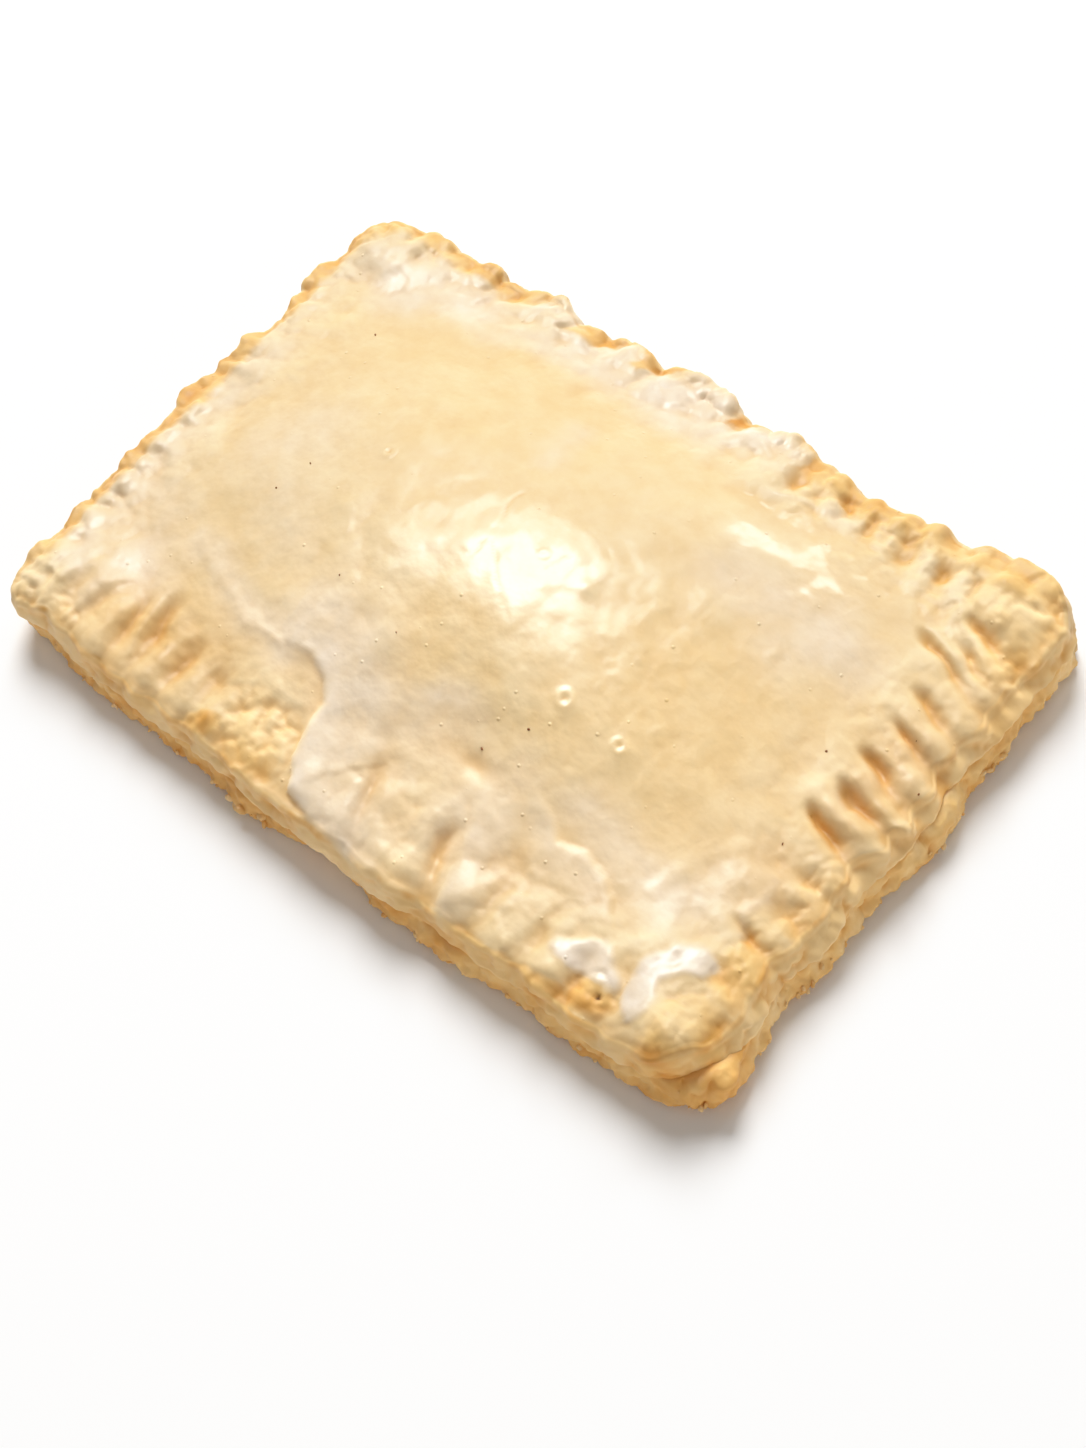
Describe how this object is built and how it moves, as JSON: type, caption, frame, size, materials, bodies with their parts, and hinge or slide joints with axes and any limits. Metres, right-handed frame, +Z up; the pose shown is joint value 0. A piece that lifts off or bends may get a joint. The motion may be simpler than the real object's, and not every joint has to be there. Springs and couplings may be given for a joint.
{
  "type": "toaster pastry",
  "caption": "Rectangular filled toaster pastry: domed shortcrust sheet fork-crimped to a flat lower sheet, with thin white glaze running over its edges.",
  "frame": {"origin": "centre of the footprint, on the surface that the pastry rests on", "axes": "+X along the long side, +Y across to the far long side, +Z up through the domed glazed face"},
  "size_m": [0.1332, 0.0906, 0.0203],
  "materials": {
    "crust_top": "satin",
    "crust_bottom": "matte",
    "glaze": "gloss"
  },
  "bodies": {
    "root": {"crust_top": "crust_top", "crust_bottom": "crust_bottom"}
  },
  "joints": []
}
